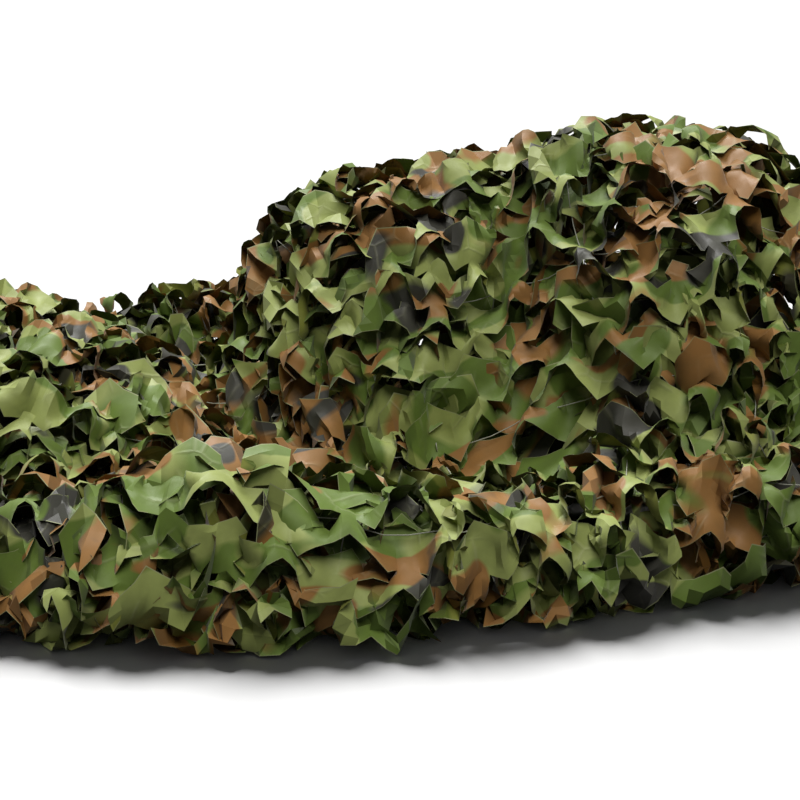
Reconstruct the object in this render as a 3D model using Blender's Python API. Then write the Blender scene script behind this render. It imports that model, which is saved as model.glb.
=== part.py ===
"""A camouflage net lying in a loose heap.

One piece of leaf-cut cloth covers the heap, turns under it at the back and is folded to and fro inside it.
A net of thin cord is tied under the cloth where the cloth shows. Metres, +Z up, the heap stands on Z = 0.
X runs along the heap, and -Y is its front.
"""

import math

import bmesh
import bpy
import numpy as np
from mathutils import Vector

for old in list(bpy.data.objects):
    bpy.data.objects.remove(old)

# ---- the heap ----
HALF_LENGTH = 0.62
END_HEIGHT = 0.035  # of the outer layer along the two ends, where the folds lie stacked
BED_HEIGHT = 0.10  # of the heap away from its lobes
END_POWER = 3.6  # how square the heap is towards its ends
SIDE_POWER = 4.4  # and towards its front and back
END_BOW = 0.07  # how far the corners of an end lie behind its middle
END_GROWTH = 4  # the power by which the bow and the inner layers' inset grow towards the ends
LOBE_STEEPNESS = 0.8
LOBE_BLEND = 5.0  # the higher, the sharper the valley between two lobes
SOFTNESS = 0.020  # the radius over which a crease or a ridge is rounded
SOFTENING_POINTS = 6  # round that radius
HEM_TUCK = 0.024  # how far the front hem is tucked under
TUCK_HEIGHT = 0.055
CENTRE_Y = -0.0231  # the middle of the footprint, which the origin lies at

# The front and back edges on the floor.
EDGES = (
    # x, front_y, back_y
    (-0.62, -0.235, 0.210),
    (-0.50, -0.360, 0.290),
    (-0.34, -0.410, 0.325),
    (-0.18, -0.432, 0.345),
    (0.02, -0.412, 0.365),
    (0.18, -0.365, 0.385),
    (0.34, -0.300, 0.385),
    (0.50, -0.255, 0.345),
    (0.62, -0.150, 0.235),
)

LOBES = (
    # x, y, radius_x, radius_y, height
    (0.27, 0.07, 0.23, 0.25, 0.334),  # the mound
    (0.01, 0.08, 0.195, 0.23, 0.300),  # its left shoulder
    (0.45, 0.03, 0.15, 0.23, 0.240),  # its right shoulder
    (-0.45, -0.06, 0.25, 0.27, 0.180),  # the low lobe
    (-0.24, 0.24, 0.14, 0.11, 0.135),  # a fold behind the valley
    (-0.37, -0.34, 0.17, 0.065, 0.110),  # the roll along the front
    (-0.14, -0.33, 0.19, 0.075, 0.148),
    (0.07, -0.33, 0.13, 0.070, 0.118),
    (0.28, -0.25, 0.26, 0.075, 0.130),
)

FOLDS = (
    # from_x, from_y, to_x, to_y, half_width, rise
    (0.02, -0.10, 0.24, -0.16, 0.045, 0.022),  # the lip under the top of the mound
    (0.24, -0.16, 0.44, -0.10, 0.045, 0.024),
    (0.00, -0.19, 0.22, -0.23, 0.040, -0.018),
    (0.10, -0.06, 0.12, -0.26, 0.040, -0.020),
    (-0.06, -0.28, -0.22, 0.16, 0.050, -0.030),  # the valley beside the low lobe
    (-0.56, -0.30, -0.26, -0.24, 0.030, -0.020),
    (-0.60, -0.05, -0.34, 0.12, 0.050, 0.012),
    (-0.42, -0.20, -0.30, 0.22, 0.035, -0.012),
    (0.20, 0.10, 0.34, 0.24, 0.050, 0.014),
    (0.42, -0.18, 0.40, 0.16, 0.040, -0.016),
)

# ---- the cloth ----
THICKNESS = 0.003
HALF_THICKNESS = THICKNESS / 2
COLUMNS = 42  # of faces along the heap
ROWS = 36  # of faces over the heap, from the front hem to the turn at the back
DENSE = 160  # points along a curve before it is cut into even steps

# The leaf cut: gaps of two columns in every second row, those of one row between those of the next.
GAP_PITCH = 4  # columns from one gap to the next
GAP_COLUMNS = 2
FIRST_GAPS = (1, 3)  # the column that the gaps start at, in one row of gaps and in the next
END_PINCH = 0.28  # of a row, from a gap's edge inwards at its two ends
MIDDLE_BULGE = 0.15  # and outwards at its middle
LEAN = 0.15  # how far one end lies lower than the middle, and the other end higher

LEAF_LENGTH = 0.028
LEAF_HALF_TIP = 0.009
LEAF_ANGLES = (30, 54, 40, 62, 24)  # from the cloth, in degrees, in turn
MOST_HOLLOW = 0.004  # how far the cloth round a gap may rise over it where a leaf stands

# ---- the folds inside the heap ----
INNER_LAYERS = 3  # the lowest is flat on the floor
INNER_ROWS = 8  # of faces in each
INNER_EVERY = 2  # of the outer layer's columns
STACK_STEP = 0.0055  # between two layers where they lie closest
INNER_INSET = 0.075  # of the inner layers from the heap's front and back edges
END_INSET = 0.050  # and so much more along the two ends
TURN_BULGE = 0.028  # the most that a turn reaches past its layers
TURN_SLIMNESS = 0.6  # of a turn's reach to the height between its layers, where that is less
TURN_STEPS = 4

# ---- the backing net ----
CORD = 0.002
CORD_GAP = 0.0012  # between the cords and the cloth over them
CELL = 5  # columns and rows to a mesh of the net


def between(x, table, column):
    """A column of the table at x, on a smooth curve through its rows."""
    xs = np.array([row[0] for row in table])
    ys = np.array([row[column] for row in table])
    slopes = np.gradient(ys, xs)
    i = int(np.clip(np.searchsorted(xs, x) - 1, 0, len(xs) - 2))
    step = xs[i + 1] - xs[i]
    t = (x - xs[i]) / step
    return (
        (2 * t**3 - 3 * t**2 + 1) * ys[i]
        + (t**3 - 2 * t**2 + t) * step * slopes[i]
        + (3 * t**2 - 2 * t**3) * ys[i + 1]
        + (t**3 - t**2) * step * slopes[i + 1]
    )


def raw_relief(x, y):
    """The lobes and folds at x and y."""
    total = BED_HEIGHT**LOBE_BLEND
    for lobe_x, lobe_y, radius_x, radius_y, height in LOBES:
        far = ((x - lobe_x) / radius_x) ** 2 + ((y - lobe_y) / radius_y) ** 2
        total = total + (height * np.exp(-LOBE_STEEPNESS * far**2)) ** LOBE_BLEND
    top = total ** (1 / LOBE_BLEND)
    for from_x, from_y, to_x, to_y, half_width, rise in FOLDS:
        run_x, run_y = to_x - from_x, to_y - from_y
        share = np.clip(((x - from_x) * run_x + (y - from_y) * run_y) / (run_x**2 + run_y**2), 0, 1)
        away = np.hypot(x - from_x - share * run_x, y - from_y - share * run_y)
        top = top + rise * np.exp(-((away / half_width) ** 2))
    return top


def relief(x, y):
    """The height of the heap's top at x and y, before it falls to the floor at its edges."""
    angles = np.arange(SOFTENING_POINTS) * 2 * math.pi / SOFTENING_POINTS
    ring = [raw_relief(x + SOFTNESS * math.cos(angle), y + SOFTNESS * math.sin(angle)) for angle in angles]
    return (raw_relief(x, y) + sum(ring)) / (1 + len(ring))


def side_share(x, y):
    """How far y lies towards the heap's front or back edge: 0 halfway between them, 1 at either."""
    front, back = between(x, EDGES, 1), between(x, EDGES, 2)
    return np.clip(np.abs(2 * (y - front) / (back - front) - 1), 0, 1)


def outer_height(x, y):
    """The height of the outer layer over a point of the floor."""
    side = (1 - side_share(x, y) ** SIDE_POWER) ** (1 / SIDE_POWER)
    end = (1 - min(abs(x) / HALF_LENGTH, 1) ** END_POWER) ** (1 / END_POWER)
    return side * (END_HEIGHT + (relief(x, y) - END_HEIGHT) * end)


def outer_section(x):
    """The outer layer as (y, z), from the tucked front hem over the heap to the floor at the back."""
    front, back = between(x, EDGES, 1), between(x, EDGES, 2)
    angles = np.linspace(0, math.pi, DENSE)
    y = (front + back) / 2 - (back - front) / 2 * np.cos(angles)
    z = HALF_THICKNESS + outer_height(x, y)
    tuck = HEM_TUCK * np.clip(1 - z / TUCK_HEIGHT, 0, 1) ** 2
    y = y + np.where(angles < math.pi / 2, tuck, -tuck)
    return np.stack([y, z], axis=1)


def layer_height(x, y, layer):
    """The height of an inner layer: its share of the outer one's, and never closer than a stacked step."""
    room = HALF_THICKNESS + outer_height(x, y) - INNER_LAYERS * STACK_STEP - THICKNESS
    return HALF_THICKNESS + layer * STACK_STEP + layer / INNER_LAYERS * np.maximum(room, 0)


def along(points, shares):
    """The points of a polyline at these shares of its length."""
    steps = np.linalg.norm(np.diff(points, axis=0), axis=1)
    lengths = np.concatenate([[0], np.cumsum(steps)])
    at = np.asarray(shares) * lengths[-1]
    return np.stack([np.interp(at, lengths, points[:, k]) for k in range(points.shape[1])], axis=1)


def column_places():
    """The X of each line between columns, at even steps along the heap's middle."""
    xs = np.linspace(-HALF_LENGTH, HALF_LENGTH, DENSE)
    profile = np.array([(x, outer_height(x, 0.0)) for x in xs])
    return along(profile, np.linspace(0, 1, COLUMNS + 1))[:, 0]


def placed(x, y, z):
    """A point of the heap in the part's own frame, with the two ends bowed."""
    bow = END_BOW * side_share(x, y) ** 2 * (abs(x) / HALF_LENGTH) ** END_GROWTH
    return np.array([x - math.copysign(bow, x), y - CENTRE_Y, z])


# ---- the outer layer ----
def gap_place(row, line):
    """Where a line meets a gap of this row: 0, 1 or 2 for the gap's start, middle or end, or None."""
    if row % 2 == 0 or not 0 < row < ROWS - 2:
        return None
    first = FIRST_GAPS[row // 2 % 2]
    place = (line - first) % GAP_PITCH
    start = line - place
    inside = place <= GAP_COLUMNS and start >= first and start + GAP_COLUMNS < COLUMNS
    return place if inside else None


def is_gap(row, column):
    """Whether the face of this row and column is left out."""
    return gap_place(row, column) in (0, 1) and gap_place(row, column + 1) in (1, 2)


def row_shift(line, column_line):
    """How far, in rows, a point of a line between rows is moved to shape the gap beside it."""
    for row, inwards in ((line, 1), (line - 1, -1)):
        place = gap_place(row, column_line)
        if place == 1:
            return -MIDDLE_BULGE * inwards
        if place is not None:
            return END_PINCH * inwards + LEAN * (place - 1)
    return 0.0


def outer_grid():
    """The outer layer's points as an array of (rows + 1, columns + 1, 3)."""
    grid = np.empty((ROWS + 1, COLUMNS + 1, 3))
    for column_line, x in enumerate(column_places()):
        shares = [(line + row_shift(line, column_line)) / ROWS for line in range(ROWS + 1)]
        for line, (y, z) in enumerate(along(outer_section(x), shares)):
            grid[line, column_line] = placed(x, y, z)
    return grid


def outward(grid):
    """The unit normal at each point of the outer layer."""
    normals = np.cross(np.gradient(grid, axis=1), np.gradient(grid, axis=0))
    return normals / np.linalg.norm(normals, axis=2, keepdims=True)


# ---- the inner layers ----
def turn(start, end):
    """The points of a turn between two layers' ends, (y, z), which bulges away from the layers."""
    half = (end[1] - start[1]) / 2
    reach = min(TURN_BULGE, 2 * half * TURN_SLIMNESS)
    angles = np.linspace(0, math.pi, TURN_STEPS + 1)[1:-1]
    return [(reach * math.sin(angle), start[1] + half * (1 - math.cos(angle))) for angle in angles]


def inner_section(x):
    """The folds under the outer layer as (y, z): back along the floor, then to and fro, rising."""
    inset = INNER_INSET + END_INSET * (abs(x) / HALF_LENGTH) ** END_GROWTH
    front = between(x, EDGES, 1) + inset
    back = between(x, EDGES, 2) - inset
    points = []
    for layer in range(INNER_LAYERS):
        ys = np.linspace(back, front, INNER_ROWS + 1)
        towards = -1  # the way to the end of this layer
        if layer % 2:
            ys = ys[::-1]
            towards = 1
        points += [(y, layer_height(x, y, layer)) for y in ys]
        if layer + 1 < INNER_LAYERS:
            above = (ys[-1], layer_height(x, ys[-1], layer + 1))
            points += [(ys[-1] + towards * reach, z) for reach, z in turn(points[-1], above)]
    return points


def inner_grid():
    """The inner layers' points as an array of (lines, columns + 1, 3)."""
    sections = [[placed(x, y, z) for y, z in inner_section(x)] for x in column_places()[::INNER_EVERY]]
    return np.array(sections).transpose(1, 0, 2)


# ---- the solids ----
def new_object(name, mesh, colour, roughness):
    material = bpy.data.materials.new(name)
    material.use_nodes = True
    shader = material.node_tree.nodes["Principled BSDF"]
    shader.inputs["Base Color"].default_value = (*colour, 1)
    shader.inputs["Roughness"].default_value = roughness
    mesh.materials.append(material)
    obj = bpy.data.objects.new(name, mesh)
    bpy.context.scene.collection.objects.link(obj)
    return obj


def mesh_from(name, body):
    mesh = bpy.data.meshes.new(name)
    body.to_mesh(mesh)
    body.free()
    return mesh


def in_hollow(grid, normals, row, start):
    """Whether the cloth round a gap rises over it, so that a leaf would touch it."""
    middle = (grid[row, start + 1] + grid[row + 1, start + 1]) / 2
    around = (grid[row - 1, start + 1], grid[row + 2, start + 1], grid[row, start - 1], grid[row, start + 3])
    rise = sum(np.dot(point - middle, normals[row, start + 1]) for point in around) / len(around)
    return rise > MOST_HOLLOW


def add_leaf(body, points, grid, normals, row, start, angle):
    """A leaf that stands up from a gap's front edge or, at every second gap, from its back edge."""
    from_front = (row // 2 + start // GAP_PITCH) % 2 == 0
    line, across = (row, row + 1) if from_front else (row + 1, row)
    middle = grid[line, start + 1]
    level = grid[across, start + 1] - middle
    level /= np.linalg.norm(level)
    rise = math.radians(angle)
    tip = middle + LEAF_LENGTH * (math.cos(rise) * level + math.sin(rise) * normals[line, start + 1])
    side = grid[line, start + 2] - grid[line, start]
    side *= LEAF_HALF_TIP / np.linalg.norm(side)
    left, right = body.verts.new(tip - side), body.verts.new(tip + side)
    base = [points[line][start + step] for step in range(3)]
    faces = [(base[0], base[1], left), (base[1], right, left), (base[1], base[2], right)]
    for face in faces:
        body.faces.new(face if from_front else face[::-1])


def leaf_cut_cloth():
    """The whole cloth: the outer layer with its gaps and leaves, then the inner layers, as one sheet."""
    grid, inner = outer_grid(), inner_grid()
    normals = outward(grid)
    body = bmesh.new()
    points = [[body.verts.new(point) for point in line] for line in grid]
    folded = [[body.verts.new(point) for point in line] for line in inner]
    leaves = 0
    for row in range(ROWS):
        for column in range(COLUMNS):
            if is_gap(row, column):
                continue
            low, high = points[row], points[row + 1]
            body.faces.new((low[column], low[column + 1], high[column + 1], high[column]))
        for start in range(COLUMNS):
            at_an_end = start < GAP_PITCH or start > COLUMNS - 2 * GAP_PITCH
            if gap_place(row, start) == 0 and not at_an_end and not in_hollow(grid, normals, row, start):
                add_leaf(body, points, grid, normals, row, start, LEAF_ANGLES[leaves % len(LEAF_ANGLES)])
                leaves += 1
    for column, (left, right) in enumerate(zip(folded[0], folded[0][1:])):
        fine = points[ROWS][column * INNER_EVERY : (column + 1) * INNER_EVERY + 1]
        body.faces.new((*fine, right, left))
    for low, high in zip(folded, folded[1:]):
        for column in range(len(low) - 1):
            body.faces.new((low[column], low[column + 1], high[column + 1], high[column]))
    cloth = new_object("leaf_cut_cloth", mesh_from("leaf_cut_cloth", body), (0.16, 0.24, 0.09), 0.55)
    sheet = cloth.modifiers.new("thickness", "SOLIDIFY")
    sheet.thickness = THICKNESS
    sheet.offset = 0
    return cloth


def cord_corners(body, point, step_x, step_y, on_row, on_column):
    """The corners of the cords at a point of the net: two on a single cord, four where two cross."""
    sides_x = (-1, 1) if on_column else (0,)
    sides_y = (-1, 1) if on_row else (0,)
    return {
        (i, j): body.verts.new(point + (i * step_x + j * step_y) * CORD / 2) for i in sides_x for j in sides_y
    }


def end_of(corners, side_x, side_y):
    """The two corners that face this way, at the point's one or two corners there."""
    if side_x:
        return [corners.get((side_x, j), corners.get((0, j))) for j in (-1, 1)]
    return [corners.get((i, side_y), corners.get((i, 0))) for i in (-1, 1)]


def backing_net():
    """Square meshes of cord just under the outer layer, along every fifth line of its rows and columns."""
    grid = outer_grid()
    normals = outward(grid)
    grid -= normals * (HALF_THICKNESS + CORD_GAP + CORD / 2)
    steps_x = np.gradient(grid, axis=1)
    steps_x /= np.linalg.norm(steps_x, axis=2, keepdims=True)
    steps_y = np.cross(normals, steps_x)
    rows = range(0, ROWS, CELL)
    columns = range(1, COLUMNS, CELL)
    body = bmesh.new()
    points = {}
    for line in range(rows[-1] + 1):
        for column in range(columns[0], columns[-1] + 1):
            on_row, on_column = line in rows, column in columns
            if on_row or on_column:
                place = [Vector(values[line, column]) for values in (grid, steps_x, steps_y)]
                points[line, column] = cord_corners(body, *place, on_row, on_column)
    for (line, column), corners in points.items():
        if len(corners) == 4:
            body.faces.new([corners[at] for at in ((-1, -1), (1, -1), (1, 1), (-1, 1))])
        if line in rows and (line, column + 1) in points:
            near, far = end_of(corners, 1, 0), end_of(points[line, column + 1], -1, 0)
            body.faces.new((near[0], far[0], far[1], near[1]))
        if column in columns and (line + 1, column) in points:
            near, far = end_of(corners, 0, 1), end_of(points[line + 1, column], 0, -1)
            body.faces.new((near[0], near[1], far[1], far[0]))
    net = new_object("backing_net", mesh_from("backing_net", body), (0.45, 0.44, 0.38), 0.7)
    cords = net.modifiers.new("thickness", "SOLIDIFY")
    cords.thickness = CORD
    cords.offset = 0
    return net


leaf_cut_cloth()
backing_net()
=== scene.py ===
"""A camouflage net lying in a loose heap: one sheet of leaf-cut cloth, tied to a net of thin cord.

Metres, +Z up. X runs along the heap, and -Y is its front.
"""

import math

import bpy
import numpy as np
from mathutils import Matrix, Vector, kdtree, noise


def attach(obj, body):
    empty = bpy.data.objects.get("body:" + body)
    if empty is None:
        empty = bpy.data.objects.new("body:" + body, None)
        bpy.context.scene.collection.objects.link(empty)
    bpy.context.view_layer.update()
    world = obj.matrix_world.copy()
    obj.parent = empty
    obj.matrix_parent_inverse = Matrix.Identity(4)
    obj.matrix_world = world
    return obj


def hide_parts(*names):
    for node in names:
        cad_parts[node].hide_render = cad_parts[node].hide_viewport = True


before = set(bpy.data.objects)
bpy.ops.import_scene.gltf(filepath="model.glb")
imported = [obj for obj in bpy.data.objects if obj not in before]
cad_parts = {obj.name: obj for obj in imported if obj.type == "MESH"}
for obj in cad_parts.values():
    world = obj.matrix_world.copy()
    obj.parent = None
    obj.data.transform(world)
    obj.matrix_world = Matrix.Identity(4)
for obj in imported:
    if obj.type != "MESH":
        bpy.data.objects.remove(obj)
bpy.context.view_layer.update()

# ---- the camera ----
# It stands in front of the heap, a little above it, and looks slightly down.
CAMERA_PLACE = (0.0, -1.6769, 0.668)
CAMERA_TILT = 19  # degrees below level
LENS = 78
SENSOR = 36

camera = bpy.data.objects.new("camera", bpy.data.cameras.new("camera"))
bpy.context.scene.collection.objects.link(camera)
camera.location = CAMERA_PLACE
camera.rotation_euler = (math.radians(90 - CAMERA_TILT), 0, 0)
camera.data.lens = LENS
camera.data.sensor_width = SENSOR
bpy.context.scene.camera = camera

# ---- the heap that the cloth lies in ----
# The net is gathered up and dropped in a loose pile: a mound at the right, a lower lobe at the left and a roll
# along the front. The cloth follows these forms, and its hems are tucked under at the front and the back.
HALF_LENGTH = 0.62
END_HEIGHT = 0.035
BED_HEIGHT = 0.10  # of the heap between its lobes
END_POWER = 3.6  # how steeply the heap falls to the floor at its two ends
SIDE_POWER = 4.4  # and at its front and back
END_BOW = 0.07  # how far the corners are drawn in
END_GROWTH = 4
LOBE_STEEPNESS = 0.8
LOBE_BLEND = 5.0
SOFTNESS = 0.020  # the distance over which the relief is evened out
SOFTENING_POINTS = 6
HEM_TUCK = 0.056  # how far the foot of the heap is drawn in under it
TUCK_HEIGHT = 0.120  # up to which height
CENTRE_Y = -0.0231

EDGES = (
    # x, front_y, back_y
    (-0.62, -0.235, 0.210),
    (-0.50, -0.360, 0.290),
    (-0.34, -0.410, 0.325),
    (-0.18, -0.432, 0.345),
    (0.02, -0.412, 0.365),
    (0.18, -0.365, 0.385),
    (0.34, -0.300, 0.385),
    (0.50, -0.255, 0.345),
    (0.62, -0.150, 0.235),
)

LOBES = (
    # x, y, radius_x, radius_y, height
    (0.27, 0.07, 0.23, 0.25, 0.334),  # the mound
    (0.01, 0.08, 0.195, 0.23, 0.300),  # its left shoulder
    (0.45, 0.03, 0.15, 0.23, 0.240),  # its right shoulder
    (-0.45, -0.06, 0.25, 0.27, 0.180),  # the low lobe
    (-0.24, 0.24, 0.14, 0.11, 0.135),  # a fold behind the valley
    (-0.37, -0.34, 0.17, 0.065, 0.110),  # the roll along the front
    (-0.14, -0.33, 0.19, 0.075, 0.148),
    (0.07, -0.33, 0.13, 0.070, 0.118),
    (0.28, -0.25, 0.26, 0.075, 0.130),
)

FOLDS = (
    # from_x, from_y, to_x, to_y, half_width, rise
    (0.02, -0.10, 0.24, -0.16, 0.045, 0.022),  # the lip under the top of the mound
    (0.24, -0.16, 0.44, -0.10, 0.045, 0.024),
    (0.00, -0.19, 0.22, -0.23, 0.040, -0.018),
    (0.10, -0.06, 0.12, -0.26, 0.040, -0.020),
    (-0.06, -0.28, -0.22, 0.16, 0.050, -0.030),  # the valley beside the low lobe
    (-0.56, -0.30, -0.26, -0.24, 0.030, -0.020),
    (-0.60, -0.05, -0.34, 0.12, 0.050, 0.012),
    (-0.42, -0.20, -0.30, 0.22, 0.035, -0.012),
    (0.20, 0.10, 0.34, 0.24, 0.050, 0.014),
    (0.42, -0.18, 0.40, 0.16, 0.040, -0.016),
)

# The grid of points that the cloth's places are looked up in.
GRID_ALONG = 220
GRID_ACROSS = 320
DENSE = 200  # points in a section before they are spaced evenly
TUCKED_HEIGHT = 0.008  # of the cloth that is tucked under the heap
MOST_TUCKED = 0.75  # of the heap's width
FRONT_TUCK = 0.035  # how far the front hem is folded under
PATH_OVER = 1.20  # the cloth's way from its front hem to its back one, tucked ends included

# How the cloth's places are drawn apart until they lie evenly on the heap.
EVENING_STEPS = 600
EVENING_PULL = 0.22
MOST_EVENING = 0.01  # in one step
MOST_SKEW = 0.1  # the least share of its full area that a skewed cell of the grid counts for
NO_LENGTH = 1e-12


def between(x, table, column):
    """A column of the table at x, on a smooth curve through its rows."""
    xs = np.array([row[0] for row in table])
    ys = np.array([row[column] for row in table])
    slopes = np.gradient(ys, xs)
    i = np.clip(np.searchsorted(xs, x) - 1, 0, len(xs) - 2)
    step = xs[i + 1] - xs[i]
    t = (x - xs[i]) / step
    return (
        (2 * t**3 - 3 * t**2 + 1) * ys[i]
        + (t**3 - 2 * t**2 + t) * step * slopes[i]
        + (3 * t**2 - 2 * t**3) * ys[i + 1]
        + (t**3 - t**2) * step * slopes[i + 1]
    )


def raw_relief(x, y):
    """The lobes and folds at x and y."""
    total = BED_HEIGHT**LOBE_BLEND
    for lobe_x, lobe_y, radius_x, radius_y, height in LOBES:
        far = ((x - lobe_x) / radius_x) ** 2 + ((y - lobe_y) / radius_y) ** 2
        total = total + (height * np.exp(-LOBE_STEEPNESS * far**2)) ** LOBE_BLEND
    top = total ** (1 / LOBE_BLEND)
    for from_x, from_y, to_x, to_y, half_width, rise in FOLDS:
        run_x, run_y = to_x - from_x, to_y - from_y
        share = np.clip(((x - from_x) * run_x + (y - from_y) * run_y) / (run_x**2 + run_y**2), 0, 1)
        away = np.hypot(x - from_x - share * run_x, y - from_y - share * run_y)
        top = top + rise * np.exp(-((away / half_width) ** 2))
    return top


def relief(x, y):
    """The height of the heap's top at x and y, before it falls to the floor at its edges."""
    angles = np.arange(SOFTENING_POINTS) * 2 * math.pi / SOFTENING_POINTS
    ring = [raw_relief(x + SOFTNESS * math.cos(angle), y + SOFTNESS * math.sin(angle)) for angle in angles]
    return (raw_relief(x, y) + sum(ring)) / (1 + len(ring))


def side_share(x, y):
    """How far y lies towards the heap's front or back edge: 0 halfway between them, 1 at either."""
    front, back = between(x, EDGES, 1), between(x, EDGES, 2)
    return np.clip(np.abs(2 * (y - front) / (back - front) - 1), 0, 1)


def heap_height(x, y):
    """The height of the heap over a point of the floor."""
    side = (1 - side_share(x, y) ** SIDE_POWER) ** (1 / SIDE_POWER)
    end = (1 - np.minimum(np.abs(x) / HALF_LENGTH, 1) ** END_POWER) ** (1 / END_POWER)
    return side * (END_HEIGHT + (relief(x, y) - END_HEIGHT) * end)


def along(points, shares):
    """The points of a polyline at these shares of its length."""
    steps = np.linalg.norm(np.diff(points, axis=0), axis=1)
    lengths = np.concatenate([[0], np.cumsum(steps)])
    at = np.asarray(shares) * lengths[-1]
    return np.stack([np.interp(at, lengths, points[:, k]) for k in range(points.shape[1])], axis=1)


def section(x):
    """The top of the heap across it at x, as (y, z) from the front hem to the back one."""
    front, back = float(between(x, EDGES, 1)), float(between(x, EDGES, 2))
    angles = np.linspace(0, math.pi, DENSE)
    y = (front + back) / 2 - (back - front) / 2 * np.cos(angles)
    z = TUCKED_HEIGHT + heap_height(np.full(DENSE, x), y)
    tuck = HEM_TUCK * np.clip(1 - z / TUCK_HEIGHT, 0, 1) ** 2
    return np.stack([y + np.where(angles < math.pi / 2, tuck, -tuck), z], axis=1)


def length_of(points):
    return float(np.linalg.norm(np.diff(points, axis=0), axis=1).sum())


def over_path(x):
    """The cloth's way over the heap at x. What it has to spare is tucked under at the front and the back."""
    top = section(x)
    spare = np.clip(PATH_OVER - FRONT_TUCK - length_of(top), 0, MOST_TUCKED * (top[-1, 0] - top[0, 0]))
    front_hem = np.array([[top[0, 0] + FRONT_TUCK, TUCKED_HEIGHT]])
    back_hem = np.array([[top[-1, 0] - spare, TUCKED_HEIGHT * 2]])
    return np.concatenate([front_hem, top, back_hem])


def placed(x, y, z):
    """Points of the heap in the part's own frame, with the two ends bowed."""
    bow = END_BOW * side_share(x, y) ** 2 * (np.abs(x) / HALF_LENGTH) ** END_GROWTH
    return np.stack([x - np.copysign(bow, x), y - CENTRE_Y, z], axis=-1)


def looked_up(table, u, v):
    """The table's values at u and v, which run from 0 to 1 over it."""
    rows, columns = table.shape[:2]
    a, b = np.clip(u, 0, 1) * (rows - 1), np.clip(v, 0, 1) * (columns - 1)
    i, j = np.minimum(a.astype(int), rows - 2), np.minimum(b.astype(int), columns - 2)
    f, g = (a - i)[..., None], (b - j)[..., None]
    return (
        (1 - f) * (1 - g) * table[i, j]
        + f * (1 - g) * table[i + 1, j]
        + (1 - f) * g * table[i, j + 1]
        + f * g * table[i + 1, j + 1]
    )


class Lie:
    """A surface that cloth lies on, given by its paths, and the cloth's places on it.

    The places are spread evenly over it. Where the cloth is carried on from another lie's hem, they start at the
    hem's places and fall in line with the paths from there.
    """

    def __init__(self, paths, ties, hem=None):
        self.points = np.stack(paths)
        rows, columns = self.points.shape[:2]
        self.run_u = np.gradient(self.points, axis=0) * (rows - 1)
        self.run_v = np.gradient(self.points, axis=1) * (columns - 1)
        normals = np.cross(self.run_u, self.run_v)
        self.normals = normals / np.maximum(np.linalg.norm(normals, axis=2, keepdims=True), NO_LENGTH)
        self.reach = np.array([length_of(self.points[:, columns // 2]), length_of(self.points[rows // 2])])
        self.places = np.stack(np.meshgrid(*(np.linspace(0, 1, n) for n in ties), indexing="ij"), axis=-1)
        if hem is not None:
            share = self.places[..., 1]
            self.places[..., 0] = hem[:, None] * (1 - share) + self.places[..., 0] * share
            return
        for _ in range(EVENING_STEPS):
            self.even_out()
        self.respace(1)
        self.respace(0)

    def respace(self, axis):
        """Spaces the places evenly on the average, along the surface or across it."""
        at = looked_up(self.points, self.places[..., 0], self.places[..., 1])
        steps = np.linalg.norm(np.diff(at, axis=axis), axis=-1).mean(axis=1 - axis)
        reached = np.concatenate([[0], np.cumsum(steps)]) / steps.sum()
        shares = [np.linspace(0, 1, n) for n in self.places.shape[:2]]
        shares[axis] = np.interp(shares[axis], reached, shares[axis])
        self.places = looked_up(self.places, *np.meshgrid(*shares, indexing="ij"))

    def even_out(self):
        """Draws each place towards its four neighbours. The outermost ones slide along the surface's edges."""
        u, v = self.places[..., 0], self.places[..., 1]
        at = looked_up(self.points, u, v)
        run_u, run_v = looked_up(self.run_u, u, v), looked_up(self.run_v, u, v)
        pull = np.zeros_like(at)
        steps = np.diff(at, axis=0), np.diff(at, axis=1)
        pull[:-1] += steps[0]
        pull[1:] -= steps[0]
        pull[:, :-1] += steps[1]
        pull[:, 1:] -= steps[1]
        uu, vv, uv = (run_u**2).sum(-1), (run_v**2).sum(-1), (run_u * run_v).sum(-1)
        uv[[0, -1]] = 0
        uv[:, [0, -1]] = 0
        along_u, along_v = (pull * run_u).sum(-1), (pull * run_v).sum(-1)
        area = np.maximum(uu * vv - uv**2, MOST_SKEW * uu * vv)
        move_u, move_v = (vv * along_u - uv * along_v) / area, (uu * along_v - uv * along_u) / area
        move_u[[0, -1]] = 0
        move_v[:, [0, -1]] = 0
        move = np.stack([move_u, move_v], axis=-1) * EVENING_PULL
        self.places = np.clip(self.places + np.clip(move, -MOST_EVENING, MOST_EVENING), 0, 1)

    def at(self, u, v):
        """The cloth's points and their normals at u and v, from 0 to 1 over the cloth."""
        places = looked_up(self.places, u, v)
        point = looked_up(self.points, places[..., 0], places[..., 1])
        normal = looked_up(self.normals, places[..., 0], places[..., 1])
        return point, normal / np.maximum(np.linalg.norm(normal, axis=-1, keepdims=True), NO_LENGTH)


def placed_path(x, path, shares=np.linspace(0, 1, GRID_ACROSS)):
    """Points at these shares of a path of the heap's cross section at x."""
    path = along(path, shares)
    return placed(np.full(GRID_ACROSS, x), path[:, 0], path[:, 1])


# The sections stand closer together where the heap rises, at even steps along its spine.
xs = np.linspace(-HALF_LENGTH, HALF_LENGTH, DENSE)
spine = np.stack([xs, heap_height(xs, 0 * xs)], axis=1)
LINES_X = along(spine, np.linspace(0, 1, GRID_ALONG))[:, 0]

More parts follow.
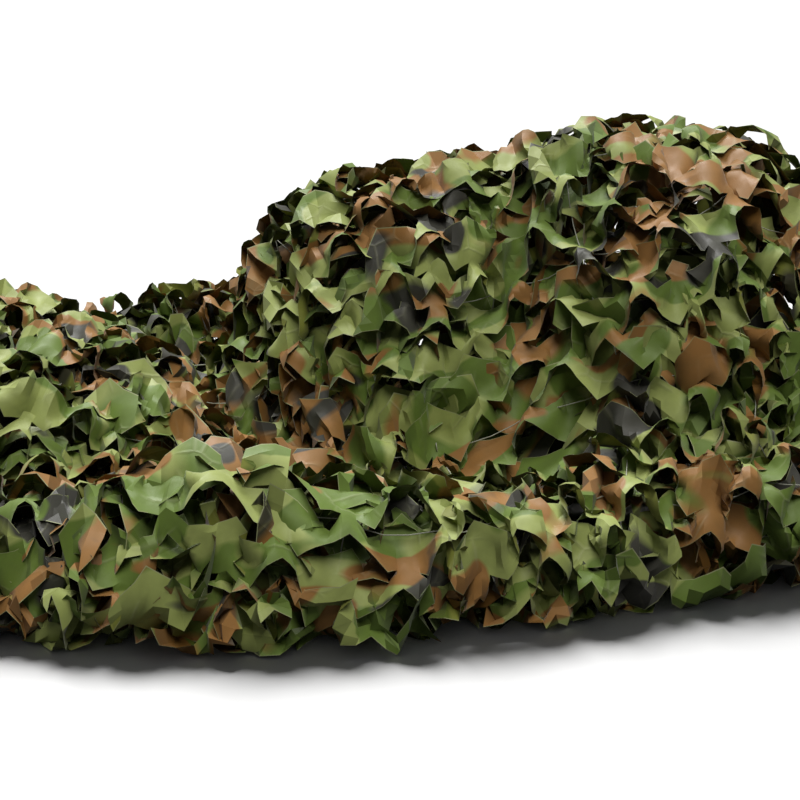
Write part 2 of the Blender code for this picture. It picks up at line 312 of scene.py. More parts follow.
# ---- the leaf-cut cloth ----
# Thin woven polyester, printed in woodland colours and cut with rows of wavy slits, half a pitch apart from one
# row to the next. Pulled open, the slits become gaps, and the cloth between them curls into leaves. The uncut
# bridges between two slits are tied to the net behind it.
PITCH = 0.115  # from one slit to the next along a row
ROW = 0.034  # between two rows
WAVE = 0.0140  # how far a slit swings to each side
SWINGS = (0.55, 1.25)  # the least and the greatest share of that
TIPS = 3  # of the wave to a slit
TIP_SHARPNESS = 1.25
FINE = (18, 6)  # faces to a pitch, and to a row
SLIT_SHARE = 0.80  # of the pitch
WHOLE_END = 3  # faces of uncut cloth at the two selvedges
GATHER = 0.68  # of the cloth's width that is left once it is opened and gathered
OPENING = 1.14  # how far the rows are pulled apart

# How the cloth lies.
WANDER = (0.030, 0.30)  # how far the rows stray on the heap, and over what distance
WANDER_STEP = 0.004
CALM_EDGE = 8  # the rows stop straying in the outer eighth of the cloth
CRUMPLE = ((0.014, 0.16), (0.011, 0.070))  # the cloth's own folds: depth, distance
LIP_RISE = 0.019  # how far the cloth over a slit bulges out, and that under it sinks in
RISES = (0.4, 1.3)  # the least and the greatest share of that
TURNED_LIPS = 0.30  # the share of slits where it is the other way round
PULL_ABOUT = 0.005  # how far each place where the cloth is tied lies off its even place
LEAF_FLARE = ((0.006, 0.006, 0.010), 0.050)  # how far the leaves stray to start with, and over what distance
ROUGHNESS = 0.0008  # of the cloth to start with
CREASE_CELL = 0.034  # the size of the flat facets that the cloth creases into
SHARP_CREASE = 32  # degrees
MOST_PROUD = 0.027  # how far a leaf stands off the heap
MOST_SUNK = 0.022
DRAWN_BACK = 0.4  # the share of what is past that which a step takes away
LEAF_WEIGHT = 0.00008  # how far the leaves sink in a step
FLOOR = 0.0012  # the height that the cloth's middle keeps above the floor
STEPS = 160
EARLY_PULL = 0.20  # of the ties, in the first half of the steps
LATE_PULL = 0.06
DIAGONAL_STIFFNESS = 0.7
BENDING = ((2, 0.8, 1.0), (4, 0.7, 1.0))  # over how many faces, how firmly, and the shortest share
BRIDGE_BENDING = (0.6, 0.99)  # across a bridge: how firmly, and the shortest share
CREASE_STIFFNESS = 0.03  # of the bending, where the two ends lie in two facets

PUFFS = (
    # x, y, width, rise
    (-0.285, 0.18, 0.07, -0.020),
    (-0.150, 0.16, 0.05, 0.010),
    (-0.07, 0.15, 0.05, -0.010),
    (0.05, 0.14, 0.04, 0.008),
    (0.33, 0.12, 0.10, 0.014),
    (-0.38, 0.04, 0.10, 0.011),
)

# The noise functions would be different in each run without a seed of their own.
noise.seed_set(3)


def noise_at(points, distance, seed):
    """A smooth random vector at each point."""
    offset = Vector((seed, seed * 1.7, seed * 0.3))
    return np.array([noise.noise_vector(Vector(point) / distance + offset) for point in points])


class LeafCut:
    """A flat sheet cut with slits. at[strip, row, column] is the number of a point of it."""

    def __init__(self, pitches, strips, faces, start, random):
        self.per, self.rows = faces
        self.strips = strips
        self.start = start
        self.columns = pitches * self.per
        column = np.arange(self.columns + 1)
        s = column * PITCH / self.per
        self.at = np.full((strips, self.rows + 1, self.columns + 1), -1)
        flat, lips, lift, count = [], [], [], 0
        swings = random.uniform(*SWINGS, (strips + 1, pitches + 2, TIPS))
        rises = random.uniform(*RISES, swings.shape[:2])
        rises = np.where(random.random(rises.shape) < TURNED_LIPS, -rises, rises)
        for strip in range(strips):
            low, high = self.line(strip, column, swings), self.line(strip + 1, column, swings)
            below, above = self.bulge(strip, column, rises), self.bulge(strip + 1, column, rises)
            for row in range(self.rows + 1):
                share = row / self.rows
                cut = self.is_cut(strip, column)
                if row == 0 and strip > 0:
                    fresh = np.where(cut)[0]
                    self.at[strip, 0, ~cut] = self.at[strip - 1, self.rows, ~cut]
                else:
                    fresh = column
                self.at[strip, row, fresh] = count + np.arange(len(fresh))
                count += len(fresh)
                flat.append(np.stack([s[fresh], (low + (high - low) * share)[fresh]], axis=1))
                lift.append((below * (1 - share) - above * share)[fresh])
                lip = np.zeros(len(column))
                if row == 0:
                    lip = cut * 1.0
                if row == self.rows:
                    lip = self.is_cut(strip + 1, column) * 1.0
                lips.append(lip[fresh])
        self.flat = np.concatenate(flat)
        self.lips = np.concatenate(lips)
        self.lift = np.concatenate(lift)
        self.size = (self.columns * PITCH / self.per, strips * ROW)

    def from_slit(self, line, column):
        """How many columns each column lies from the middle of its nearest slit, and which slit that is."""
        half = self.per // 2
        away = (column - half * (line % 2) + half) % self.per - half
        return away, (column - away + self.per) // self.per

    def line(self, line, column, swings):
        """The way of a line of slits across the sheet: a hem, or a wave with three sharp tips to a slit."""
        if not 0 < line < self.strips:
            return self.start + ROW * line + 0.0 * column
        away, slit = self.from_slit(line, column)
        away = away / (self.per / TIPS)
        tip = np.clip(np.round(away), -1, 1).astype(int)
        near = np.clip(1 - 2 * np.abs(away - tip), 0, 1)
        swing = WAVE * swings[line, np.clip(slit, 0, swings.shape[1] - 1), tip + 1]
        return self.start + ROW * line + np.where(tip == 0, 1, -1) * swing * near**TIP_SHARPNESS

    def bulge(self, line, column, rises):
        """How far the cloth over a slit bulges out along it."""
        if not 0 < line < self.strips:
            return 0.0 * column
        away, slit = self.from_slit(line, column)
        share = np.clip(np.abs(away) / (SLIT_SHARE * self.per / 2), 0, 1)
        return np.cos(share * math.pi / 2) * rises[line, np.clip(slit, 0, rises.shape[1] - 1)]

    def is_cut(self, line, column):
        """Whether the cloth is slit through at these columns of the line."""
        if not 0 < line < self.strips:
            return np.zeros(len(column), bool)
        cut = np.abs(self.from_slit(line, column)[0]) < SLIT_SHARE * self.per / 2
        cut[:WHOLE_END] = False
        cut[-WHOLE_END:] = False
        return cut

    def faces(self):
        """The four corners of each face."""
        at = self.at
        corners = [at[:, :-1, :-1], at[:, :-1, 1:], at[:, 1:, 1:], at[:, 1:, :-1]]
        return np.stack(corners, axis=-1).reshape(-1, 4)

    def links(self, cells):
        """Batches of pairs of points, no point twice in a batch: (from, to, length, stiffness, shortest)."""
        batches = []

        def add(a, b, stiffness, shortest=None):
            pair = np.unique(np.stack([a.ravel(), b.ravel()], 1), axis=0)
            a, b = pair[:, 0], pair[:, 1]
            length = np.linalg.norm(self.flat[a] - self.flat[b], axis=1)
            firm = np.full(len(a), stiffness)
            if shortest is not None:
                firm[cells[a] != cells[b]] *= CREASE_STIFFNESS
            batches.append((a, b, length.astype(np.float32), firm.astype(np.float32), shortest))

        at, rows, columns = self.at, self.rows, self.columns
        for odd in (0, 1):
            add(at[:, :, odd:-1:2], at[:, :, odd + 1 :: 2], 1.0)
            add(at[:, odd:-1:2, :], at[:, odd + 1 :: 2, :], 1.0)
            add(at[:, odd:-1:2, :-1], at[:, odd + 1 :: 2, 1:], DIAGONAL_STIFFNESS)
            add(at[:, odd:-1:2, 1:], at[:, odd + 1 :: 2, :-1], DIAGONAL_STIFFNESS)
        for span, stiffness, shortest in BENDING:
            for odd in (0, 1):
                start = [c for c in range(columns + 1 - span) if c // span % 2 == odd]
                add(at[:, :, start], at[:, :, np.array(start) + span], stiffness, shortest)
                start = [r for r in range(rows + 1 - span) if r // span % 2 == odd]
                if start and span < rows:
                    add(at[:, start, :], at[:, np.array(start) + span, :], stiffness, shortest)
        ends = []
        for strip in range(1, self.strips):
            whole = ~self.is_cut(strip, np.arange(columns + 1))
            ends.append((at[strip - 1, rows - 1, whole], at[strip, 1, whole]))
        add(np.concatenate([e[0] for e in ends]), np.concatenate([e[1] for e in ends]), *BRIDGE_BENDING)
        return batches

    def bridges(self):
        """The points in the middle of the uncut cloth between two slits."""
        column = np.arange(self.columns + 1)
        found = []
        for line in range(1, self.strips):
            middle = np.abs(self.from_slit(line, column)[0]) == self.per // 2
            found.append(self.at[line, 0, middle])
        return np.unique(np.concatenate(found))


def settle(start, goal, base, normal, links, ties, steps, held=()):
    """The sheet's points, moved until its threads have their own lengths again."""
    points = start.astype(np.float32)
    goal = goal[ties].astype(np.float32)
    base = base.astype(np.float32)
    normal = normal.astype(np.float32)
    held = np.asarray(held, int)
    for step in range(steps):
        for a, b, length, firm, shortest in links:
            run = points[b] - points[a]
            long = np.sqrt(np.einsum("ij,ij->i", run, run)) + 1e-9
            off = long - length
            if shortest is not None:
                off = np.minimum(long - length * shortest, 0)
            move = run * (0.5 * firm * off / long)[:, None]
            points[a] += move
            points[b] -= move
        pull = EARLY_PULL if step < steps / 2 else LATE_PULL
        points[ties] += pull * (goal - points[ties])
        points[:, 2] -= LEAF_WEIGHT
        height = np.einsum("ij,ij->i", points - base, normal)
        over = np.maximum(height - MOST_PROUD, 0) - np.maximum(-MOST_SUNK - height, 0)
        points -= normal * (DRAWN_BACK * over)[:, None]
        points[:, 2] = np.maximum(points[:, 2], FLOOR)
        if len(held):
            points[held] = start[held]
    return points


def facets(sheet, random):
    """Which flat facet each point of the cloth belongs to."""
    count = int(sheet.size[0] * sheet.size[1] / CREASE_CELL**2)
    tree = kdtree.KDTree(count)
    for n, (s, t) in enumerate(random.uniform(0, 1, (count, 2)) * sheet.size):
        tree.insert((s, t + sheet.start, 0), n)
    tree.balance()
    return np.array([tree.find((s, t, 0))[1] for s, t in sheet.flat])


def swirl(flat):
    """How far the cloth strays in its own plane, turning this way and that without being stretched."""
    step = WANDER_STEP
    moved = np.column_stack([flat, np.full(len(flat), WANDER[1] * 5)])
    level = [noise_at(moved + shift, WANDER[1], 2.0)[:, 0] for shift in ((0, 0, 0), (step, 0, 0), (0, step, 0))]
    along_s, along_t = (level[1] - level[0]) / step, (level[2] - level[0]) / step
    return np.column_stack([along_t, -along_s]) * WANDER[0] * WANDER[1]


def lay(sheet, lie, steps, random, first_row=None):
    """The sheet's points once it lies on that surface, with its first row held where another sheet ends."""
    share = (sheet.flat - (0, sheet.start)) / sheet.size
    window = np.clip(np.minimum(share, 1 - share) * CALM_EDGE, 0, 1).prod(axis=1)[:, None]
    u, v = (share + swirl(sheet.flat) * window / lie.reach).T
    base, normal = lie.at(u, v)
    crumple = sum(depth * noise_at(base, distance, 7.0 + distance)[:, 2] for depth, distance in CRUMPLE)
    for x, y, width, rise in PUFFS:
        crumple = crumple + rise * np.exp(-(((base[:, 0] - x) ** 2 + (base[:, 1] - y) ** 2) / width**2))
    base = base + normal * crumple[:, None]
    base[:, 2] = np.maximum(base[:, 2], FLOOR)
    flare = noise_at(base, LEAF_FLARE[1], 3.0) * LEAF_FLARE[0]
    start = base + flare + normal * (sheet.lift * LIP_RISE)[:, None] + random.normal(0, ROUGHNESS, base.shape)
    goal = base.copy()
    ties = sheet.bridges()
    goal[ties] += random.normal(0, PULL_ABOUT, (len(ties), 3))
    held = []
    if first_row is not None:
        held = sheet.at[0, 0]
        start[held] = first_row
    return settle(start, goal, base, normal, sheet.links(facets(sheet, random)), ties, steps, held)


random = np.random.default_rng(11)
PITCHES = round(length_of(spine) / (PITCH * GATHER))
STRIPS = round(PATH_OVER / (ROW * OPENING))
top_lie = Lie([placed_path(x, over_path(x)) for x in LINES_X], (2 * PITCHES + 1, STRIPS + 1))
top = LeafCut(PITCHES, STRIPS, FINE, 0.0, random)
top_points = lay(top, top_lie, STEPS, random)

# The rest of the cloth lies folded inside the heap: it comes forward along the floor from the back hem, and runs back
# close under the top, where its leaves show dimly through the gaps. It is the same sheet, carried on.
COARSE = (9, 3)
UNDER_STRIPS = 54
FLOOR_STRIPS = 12  # of them, on the floor
UNDER_STEPS = 70
UNDER_DEPTH = 0.044  # of the fold that runs close under the top
SHALLOWER = 0.55  # how much less that is at the highest place
LEAST_UNDER = 0.6  # of the heap's height, where that is low
UNDER_INSET = 0.022  # of that fold from the heap's front and back edges
FULL_WIDTH = 0.6  # of the heap, from which on the inset is that wide
ON_FLOOR = 0.7  # of the height of the back hem
FOLD_POINTS = 60


def under_path(x):
    """The way of the cloth inside the heap at x, from where the back hem is tucked in."""
    front, back = float(between(x, EDGES, 1)), float(between(x, EDGES, 2))
    first = over_path(x)[-1]
    inset = UNDER_INSET * min(1.0, (back - front) / FULL_WIDTH)
    angles = np.linspace(0, math.pi, FOLD_POINTS)
    y = (front + back) / 2 - ((back - front) / 2 - inset) * np.cos(angles)
    squeezed = (y - (front + back) / 2) / (1 - 2 * inset / (back - front)) + (front + back) / 2
    height = heap_height(np.full(FOLD_POINTS, x), np.clip(squeezed, front, back))
    depth = UNDER_DEPTH * (1 - SHALLOWER * height / height.max() * np.sin(angles) ** 2)
    close = np.maximum(height - depth * np.sin(angles) ** 0.5, LEAST_UNDER * height)
    lowest = first[1] * ON_FLOOR
    path = np.stack([np.concatenate([[first[0]], y]), np.concatenate([[lowest], lowest + close])], axis=1)
    floor_share = np.linalg.norm(path[1] - path[0]) / length_of(path)
    shares = np.interp(np.linspace(0, 1, GRID_ACROSS), [0, FLOOR_STRIPS / UNDER_STRIPS, 1], [0, floor_share, 1])
    return placed_path(x, path, shares)


back_hem = top_lie.places[:, -1, 0]
under_lie = Lie([under_path(x) for x in LINES_X], (2 * PITCHES + 1, UNDER_STRIPS + 1), back_hem)
under = LeafCut(PITCHES, UNDER_STRIPS, COARSE, STRIPS * ROW, random)
last_row = top.at[-1, -1]
step_over = FINE[0] // COARSE[0]
under_points = lay(under, under_lie, UNDER_STEPS, random, top_points[last_row[::step_over]])

# The two are one mesh. Its faces beside the seam take in the finer row's extra points.
first = len(top_points)
number = np.arange(len(under_points)) + first
number[under.at[0, 0]] = last_row[::step_over]
under_faces = number[under.faces()]
seam = under.columns
faces = top.faces().tolist()
for column, (a, b, c, d) in enumerate(under_faces[:seam].tolist()):
    between_them = last_row[column * step_over : (column + 1) * step_over + 1].tolist()
    faces.append(between_them + [c, d])
faces += under_faces[seam:].tolist()
points = np.concatenate([top_points, under_points])
flat = np.concatenate([top.flat, under.flat])
lips = np.concatenate([top.lips, under.lips])

mesh = bpy.data.meshes.new("leaf_cloth")
mesh.from_pydata(points.tolist(), [], faces)
mesh.update()
corner = np.empty(len(mesh.loops), int)
mesh.loops.foreach_get("vertex_index", corner)
layer = mesh.uv_layers.new(name="flat")
layer.data.foreach_set("uv", flat[corner].ravel().astype(np.float32))
lip_layer = mesh.attributes.new("lips", "FLOAT", "POINT")
lip_layer.data.foreach_set("value", lips.astype(np.float32))
leaf_cloth = bpy.data.objects.new("leaf_cloth", mesh)
bpy.context.scene.collection.objects.link(leaf_cloth)
bpy.ops.object.select_all(action="DESELECT")
leaf_cloth.select_set(True)
bpy.context.view_layer.objects.active = leaf_cloth
bpy.ops.mesh.customdata_custom_splitnormals_clear()
bpy.ops.object.shade_smooth_by_angle(angle=math.radians(SHARP_CREASE))

# its material
LIGHT_GREEN = (0.264, 0.308, 0.090, 1)
MID_GREEN = (0.112, 0.172, 0.029, 1)
BROWN = (0.266, 0.131, 0.037, 1)
CHARCOAL = (0.046, 0.045, 0.038, 1)
STAIN = (0.05, 0.055, 0.02, 1)
PALE_CREASE = (0.42, 0.42, 0.28, 1)
BACK_PAINTED_SHADE = (0.66, 0.62, 0.36, 1)  # painted shade: what the print's colours are multiplied by on the cloth's back, to darken leaves that show their backs
BARE_EDGE_AND_HIGHLIGHT = (0.26, 0.28, 0.14, 1)  # where the threads lie bare, lightened as well with a painted highlight where the cut edge catches the light
PRINT = ((1, 0.50, MID_GREEN), (5, 0.547, BROWN), (9, 0.628, CHARCOAL))  # over the light green: (place, threshold, ink)
PATCH_SCALE = (8, 12, 1)  # of the print, so that its patches are longer along the strips
PATCH_EDGE = 0.012  # how softly a patch ends
MOST_STAIN = 0.20
MOST_PALE = 0.16
CREASES = 26  # to the metre, of those that show as pale lines
EDGE_THREADS_AND_HIGHLIGHT = (0.91, 0.97)  # how near a slit's lip the bare threads and the painted highlight begin to show, and cover it
CLOTH_ROUGHNESS = (0.42, 0.60)

cloth_finish = bpy.data.materials.new("printed_cloth")
cloth_finish.use_nodes = True
nodes, wires = cloth_finish.node_tree.nodes, cloth_finish.node_tree.links
shader = nodes["Principled BSDF"]
flat_map = nodes.new("ShaderNodeUVMap")
flat_map.uv_map = "flat"


def patch(place, threshold):
    """A mask of the print: the patches of one colour."""
    mapping = nodes.new("ShaderNodeMapping")
    mapping.inputs["Location"].default_value = (place, place * 1.3, 0)
    mapping.inputs["Scale"].default_value = PATCH_SCALE
    wires.new(flat_map.outputs[0], mapping.inputs["Vector"])
    cloud = nodes.new("ShaderNodeTexNoise")
    cloud.inputs["Scale"].default_value = 1
    cloud.inputs["Detail"].default_value = 1.5
    cloud.inputs["Distortion"].default_value = 0.6
    wires.new(mapping.outputs[0], cloud.inputs["Vector"])
    level = nodes.new("ShaderNodeMapRange")
    level.inputs["From Min"].default_value = threshold - PATCH_EDGE
    level.inputs["From Max"].default_value = threshold + PATCH_EDGE
    wires.new(cloud.outputs["Fac"], level.inputs["Value"])
    return level.outputs[0]


def mixed(share, under, over, blend="MIX"):
    """Two colours mixed by a mask."""
    mix = nodes.new("ShaderNodeMix")
    mix.data_type = "RGBA"
    mix.blend_type = blend
    wires.new(share, mix.inputs["Factor"])
    for value, socket in ((under, mix.inputs["A"]), (over, mix.inputs["B"])):
        if isinstance(value, tuple):
            socket.default_value = value
        else:
            wires.new(value, socket)
    return mix.outputs["Result"]


def threads_group():
    """A plain weave: two sets of threads, over and under each other."""
    group = bpy.data.node_groups.new("woven_threads", "ShaderNodeTree")
    group.interface.new_socket("Vector", in_out="INPUT", socket_type="NodeSocketVector")
    group.interface.new_socket("Threads per metre", in_out="INPUT", socket_type="NodeSocketFloat")
    group.interface.new_socket("Height", in_out="OUTPUT", socket_type="NodeSocketFloat")
    entry, leave = group.nodes.new("NodeGroupInput"), group.nodes.new("NodeGroupOutput")
    heights = []
    for direction in ("X", "Y"):
        wave = group.nodes.new("ShaderNodeTexWave")
        wave.bands_direction = direction
        wave.inputs["Distortion"].default_value = 0.6
        wave.inputs["Detail"].default_value = 1.0
        group.links.new(entry.outputs["Vector"], wave.inputs["Vector"])
        group.links.new(entry.outputs["Threads per metre"], wave.inputs["Scale"])
        heights.append(wave.outputs["Fac"])
    both = group.nodes.new("ShaderNodeMath")
    both.operation = "MAXIMUM"
    group.links.new(heights[0], both.inputs[0])
    group.links.new(heights[1], both.inputs[1])
    group.links.new(both.outputs[0], leave.inputs["Height"])
    return group


def ranged(value, low, high, to_low=0.0, to_high=1.0):
    """A value taken from one range to another."""
    level = nodes.new("ShaderNodeMapRange")
    for name, number in (("From Min", low), ("From Max", high), ("To Min", to_low), ("To Max", to_high)):
        level.inputs[name].default_value = number
    wires.new(value, level.inputs["Value"])
    return level.outputs[0]


def texture(kind, scale, **settings):
    """A texture on the cloth's own flat map."""
    node = nodes.new(kind)
    wires.new(flat_map.outputs[0], node.inputs["Vector"])
    node.inputs["Scale"].default_value = scale
    for name, value in settings.items():
        node.inputs[name].default_value = value
    return node


threads = threads_group()
colour = LIGHT_GREEN
for place, threshold, ink in PRINT:
    colour = mixed(patch(place, threshold), colour, ink)

# The print is a little uneven, and paler along the creases.
uneven = texture("ShaderNodeTexNoise", 60, Detail=4.0)
colour = mixed(ranged(uneven.outputs["Fac"], 0.35, 0.75, 0.0, MOST_STAIN), colour, STAIN)
crease = texture("ShaderNodeTexVoronoi", CREASES)
crease.feature = "DISTANCE_TO_EDGE"
crease_line = ranged(crease.outputs["Distance"], 0.0, 0.05, 1.0, 0.0)
broken = texture("ShaderNodeTexNoise", 18, Detail=1.0)
faint = nodes.new("ShaderNodeMath")
faint.operation = "MULTIPLY"
wires.new(crease_line, faint.inputs[0])
wires.new(ranged(broken.outputs["Fac"], 0.50, 0.62), faint.inputs[1])
pale_share = nodes.new("ShaderNodeMath")
pale_share.operation = "MULTIPLY"
pale_share.inputs[1].default_value = MOST_PALE
wires.new(faint.outputs[0], pale_share.inputs[0])
colour = mixed(pale_share.outputs[0], colour, PALE_CREASE)

# The cloth's back is darkened with a painted shade.
side = nodes.new("ShaderNodeNewGeometry")
colour = mixed(side.outputs["Backfacing"], colour, BACK_PAINTED_SHADE, "MULTIPLY")
# The cut edges are pale: partly the bare threads, partly a painted highlight.
lip_value = nodes.new("ShaderNodeAttribute")
lip_value.attribute_name = "lips"
colour = mixed(ranged(lip_value.outputs["Fac"], *EDGE_THREADS_AND_HIGHLIGHT), colour, BARE_EDGE_AND_HIGHLIGHT)
wires.new(colour, shader.inputs["Base Color"])
wires.new(ranged(uneven.outputs["Fac"], 0.3, 0.7, *CLOTH_ROUGHNESS), shader.inputs["Roughness"])
shader.inputs["Sheen Weight"].default_value = 0.10
shader.inputs["Specular IOR Level"].default_value = 0.20

weave = nodes.new("ShaderNodeGroup")
weave.node_tree = threads
weave.inputs["Threads per metre"].default_value = 620
wires.new(flat_map.outputs[0], weave.inputs["Vector"])
weave_bump = nodes.new("ShaderNodeBump")
weave_bump.inputs["Strength"].default_value = 0.25
weave_bump.inputs["Distance"].default_value = 0.0001
wires.new(weave.outputs["Height"], weave_bump.inputs["Height"])
crease_bump = nodes.new("ShaderNodeBump")
crease_bump.inputs["Strength"].default_value = 0.5
crease_bump.inputs["Distance"].default_value = 0.0008
wires.new(faint.outputs[0], crease_bump.inputs["Height"])
wires.new(weave_bump.outputs["Normal"], crease_bump.inputs["Normal"])
wires.new(crease_bump.outputs["Normal"], shader.inputs["Normal"])
mesh.materials.append(cloth_finish)
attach(leaf_cloth, "root")
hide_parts("leaf_cut_cloth")

# ---- the backing net ----
# A square mesh of thin twisted cord. It is tied to the uncut bridges of the cloth from beneath, drawn straight
# from one to the next, and shows across the gaps. A few ties stand off it as small loops.
CORD = 0.0011
CORD_DEPTH = 0.006  # under the cloth at a tie
CORD_SAG = 0.012
CORD_STEPS = 4
EVERY_LINE = 4  # a cord runs along every fourth line of slits
EVERY_SLIT = 2  # and one across them at every second slit
KNOT = 0.0020
LOOP_EVERY = 9  # knots
LOOP = 0.006
LOOP_POINTS = 10
LOOP_MOUTH = 0.15  # radians at each end of a loop that are left open
LOOP_LIFT = (0.8, 0.3)  # how far a loop leans outwards and sideways
LOOP_WIDTH = 0.7  # of its length

face_normals = np.zeros((len(top_points), 3))
quads = top.faces()
corners = top_points[quads]
across_quads = np.cross(corners[:, 2] - corners[:, 0], corners[:, 3] - corners[:, 1])
for k in range(4):
    np.add.at(face_normals, quads[:, k], across_quads)
face_normals /= np.maximum(np.linalg.norm(face_normals, axis=1, keepdims=True), NO_LENGTH)
tie_columns = np.arange(top.per // 2, top.columns, top.per)
ties = {}
for line in range(2, top.strips, 2):
    for slit, column in enumerate(tie_columns):
        n = top.at[line, 0, column]
        ties[line, slit] = top_points[n] - face_normals[n] * CORD_DEPTH, face_normals[n]


def strung(knots):
    """A cord drawn from knot to knot, under the leaves between them."""
    share = np.linspace(0, 1, CORD_STEPS + 1)[:-1, None]
    parts = []
    for a, b in zip(knots, knots[1:]):
        outward = (ties[a][1] + ties[b][1]) / 2
        part = ties[a][0] * (1 - share) + ties[b][0] * share
        parts.append(part - outward * np.sin(share * math.pi) * CORD_SAG)
    line = np.concatenate(parts + [ties[knots[-1]][0][None]])
    line[:, 2] = np.maximum(line[:, 2], FLOOR + CORD)
    return line


lines, knot_points, knot_normals = [], [], []
for line in range(EVERY_LINE, top.strips, EVERY_LINE):
    lines.append(strung([(line, slit) for slit in range(len(tie_columns))]))
for slit in range(0, len(tie_columns), EVERY_SLIT):
    lines.append(strung([(line, slit) for line in range(2, top.strips, 2)]))
    for line in range(EVERY_LINE, top.strips, EVERY_LINE):
        knot_points.append(ties[line, slit][0])
        knot_normals.append(ties[line, slit][1])
knot_points = np.array(knot_points)
for n in range(0, len(knot_points), LOOP_EVERY):
    turn = np.linspace(LOOP_MOUTH, 2 * math.pi - LOOP_MOUTH, LOOP_POINTS)
    side_way = np.cross(knot_normals[n], random.normal(size=3))
    side_way /= np.linalg.norm(side_way)
    out = knot_normals[n] * LOOP_LIFT[0] + side_way * LOOP_LIFT[1]
    ring = np.outer(1 - np.cos(turn), out) * LOOP + np.outer(np.sin(turn), side_way) * LOOP * LOOP_WIDTH
    loop = knot_points[n] + ring
    loop[:, 2] = np.maximum(loop[:, 2], FLOOR + CORD)
    lines.append(loop)

cords = bpy.data.curves.new("cords", "CURVE")
cords.dimensions = "3D"
cords.bevel_depth = CORD / 2
cords.bevel_resolution = 1
for line in lines:
    spline = cords.splines.new("POLY")
    spline.points.add(len(line) - 1)
    spline.points.foreach_set("co", np.column_stack([line, np.ones(len(line))]).ravel())
backing_net = bpy.data.objects.new("net_cords", cords)
bpy.context.scene.collection.objects.link(backing_net)
bpy.ops.object.select_all(action="DESELECT")
backing_net.select_set(True)
bpy.context.view_layer.objects.active = backing_net
bpy.ops.object.convert(target="MESH")

bpy.ops.object.select_all(action="DESELECT")
bpy.ops.mesh.primitive_ico_sphere_add(subdivisions=1, radius=KNOT)
knot = bpy.context.active_object
body = np.array([v.co[:] for v in knot.data.vertices])
knot_faces = np.array([f.vertices[:] for f in knot.data.polygons])
bpy.data.objects.remove(knot)
copies = (body[None] + knot_points[:, None]).reshape(-1, 3)
copied_faces = (knot_faces[None] + len(body) * np.arange(len(knot_points))[:, None, None]).reshape(-1, 3)
knots_mesh = bpy.data.meshes.new("knots")
knots_mesh.from_pydata(copies.tolist(), [], copied_faces.tolist())
knots_object = bpy.data.objects.new("knots", knots_mesh)
bpy.context.scene.collection.objects.link(knots_object)
bpy.ops.object.select_all(action="DESELECT")
knots_object.select_set(True)
backing_net.select_set(True)
bpy.context.view_layer.objects.active = backing_net
bpy.ops.object.join()
bpy.ops.object.shade_smooth()

# its material: pale grey-green polyester, twisted from a few strands, with painted shade in the hollows between them
CORD_HOLLOW_SHADE = (0.20, 0.21, 0.15, 1)
CORD_STRANDS = (0.42, 0.43, 0.36, 1)

cord_finish = bpy.data.materials.new("twisted_cord")
cord_finish.use_nodes = True
nodes, wires = cord_finish.node_tree.nodes, cord_finish.node_tree.links
shader = nodes["Principled BSDF"]
place = nodes.new("ShaderNodeTexCoord")
strands = nodes.new("ShaderNodeGroup")
strands.node_tree = threads
strands.inputs["Threads per metre"].default_value = 900
wires.new(place.outputs["Object"], strands.inputs["Vector"])
# Painted shade darkens the hollows between the strands.
colour = mixed(strands.outputs["Height"], CORD_HOLLOW_SHADE, CORD_STRANDS)
wires.new(colour, shader.inputs["Base Color"])
strand_bump = nodes.new("ShaderNodeBump")
strand_bump.inputs["Strength"].default_value = 0.6
strand_bump.inputs["Distance"].default_value = 0.0002
wires.new(strands.outputs["Height"], strand_bump.inputs["Height"])
wires.new(strand_bump.outputs["Normal"], shader.inputs["Normal"])
shader.inputs["Roughness"].default_value = 0.6
backing_net.data.materials.clear()
backing_net.data.materials.append(cord_finish)
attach(backing_net, "root")
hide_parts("backing_net")

# ---- the floor and the light ----
# A plain white floor and backdrop, one broad lamp above and behind the heap, and a soft one in front of it.
FLOOR_SEEN = (0.89, 0.885, 0.88, 1)  # the floor is white to the camera
FLOOR_BOUNCE = (0.20, 0.198, 0.196, 1)  # and throws little light back under the cloth
AMBIENT = 0.07
OVERHEAD = 4.3
FILL = 2.45

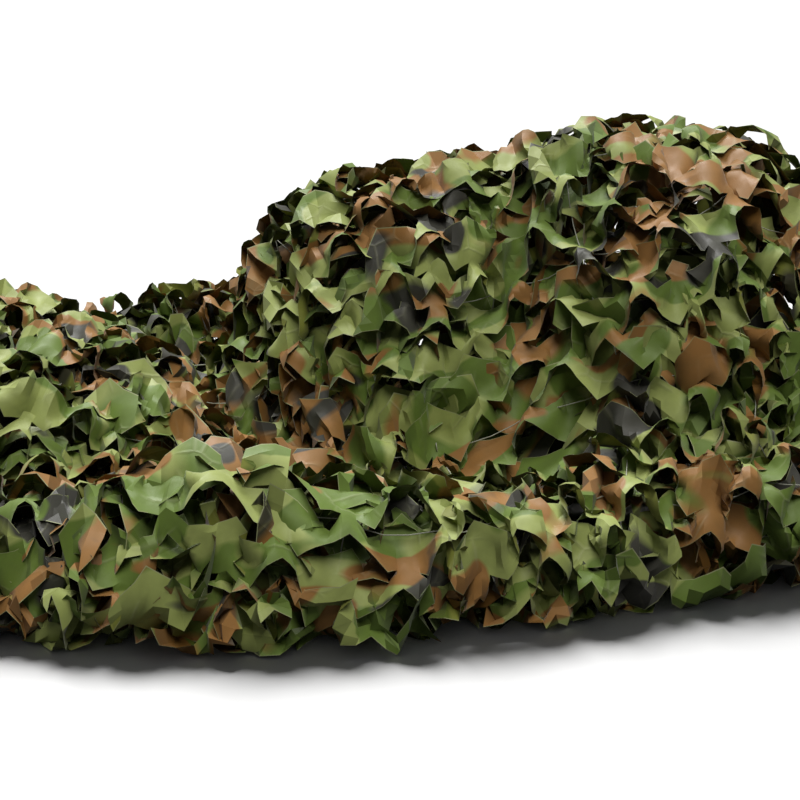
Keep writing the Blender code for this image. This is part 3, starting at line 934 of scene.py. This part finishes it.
floor_mesh = bpy.data.meshes.new("floor")
floor_mesh.from_pydata([(-6, -4, 0), (6, -4, 0), (6, 8, 0), (-6, 8, 0)], [], [(0, 1, 2, 3)])
floor = bpy.data.objects.new("floor", floor_mesh)
bpy.context.scene.collection.objects.link(floor)
floor_finish = bpy.data.materials.new("floor")
floor_finish.use_nodes = True
nodes, wires = floor_finish.node_tree.nodes, floor_finish.node_tree.links
ray = nodes.new("ShaderNodeLightPath")
colour = mixed(ray.outputs["Is Camera Ray"], FLOOR_BOUNCE, FLOOR_SEEN)
wires.new(colour, nodes["Principled BSDF"].inputs["Base Color"])
nodes["Principled BSDF"].inputs["Roughness"].default_value = 0.6
floor_mesh.materials.append(floor_finish)

world = bpy.data.worlds.new("studio")
bpy.context.scene.world = world
world.use_nodes = True
nodes, wires = world.node_tree.nodes, world.node_tree.links
nodes["Background"].inputs["Color"].default_value = (0.95, 0.97, 1, 1)
nodes["Background"].inputs["Strength"].default_value = AMBIENT
backdrop = nodes.new("ShaderNodeBackground")
backdrop.inputs["Color"].default_value = (1, 1, 1, 1)
backdrop.inputs["Strength"].default_value = 1.05
seen = nodes.new("ShaderNodeLightPath")
either = nodes.new("ShaderNodeMixShader")
wires.new(seen.outputs["Is Camera Ray"], either.inputs["Fac"])
wires.new(nodes["Background"].outputs[0], either.inputs[1])
wires.new(backdrop.outputs[0], either.inputs[2])
wires.new(either.outputs[0], nodes["World Output"].inputs["Surface"])

overhead = bpy.data.lights.new("overhead", "SUN")
overhead.energy = OVERHEAD
overhead.angle = math.radians(28)
lamp = bpy.data.objects.new("overhead", overhead)
bpy.context.scene.collection.objects.link(lamp)
lamp.location = (0, 0.5, 2)
lamp.rotation_euler = (math.radians(-34), math.radians(-8), 0)

# A soft light from the front is turned on the cloth alone, so that the shadow at its foot stays dark.
front_light = bpy.data.lights.new("front", "SUN")
front_light.energy = FILL
front_light.angle = math.radians(40)
front_light.color = (1, 0.98, 0.93)
front_lamp = bpy.data.objects.new("front", front_light)
bpy.context.scene.collection.objects.link(front_lamp)
front_lamp.location = (0, -2, 1.6)
front_lamp.rotation_euler = (math.radians(16), math.radians(10), 0)
on_cloth = bpy.data.collections.new("on_cloth")
for lit in (leaf_cloth, backing_net):
    on_cloth.objects.link(lit)
front_lamp.light_linking.receiver_collection = on_cloth
bpy.context.scene.view_settings.view_transform = "Standard"
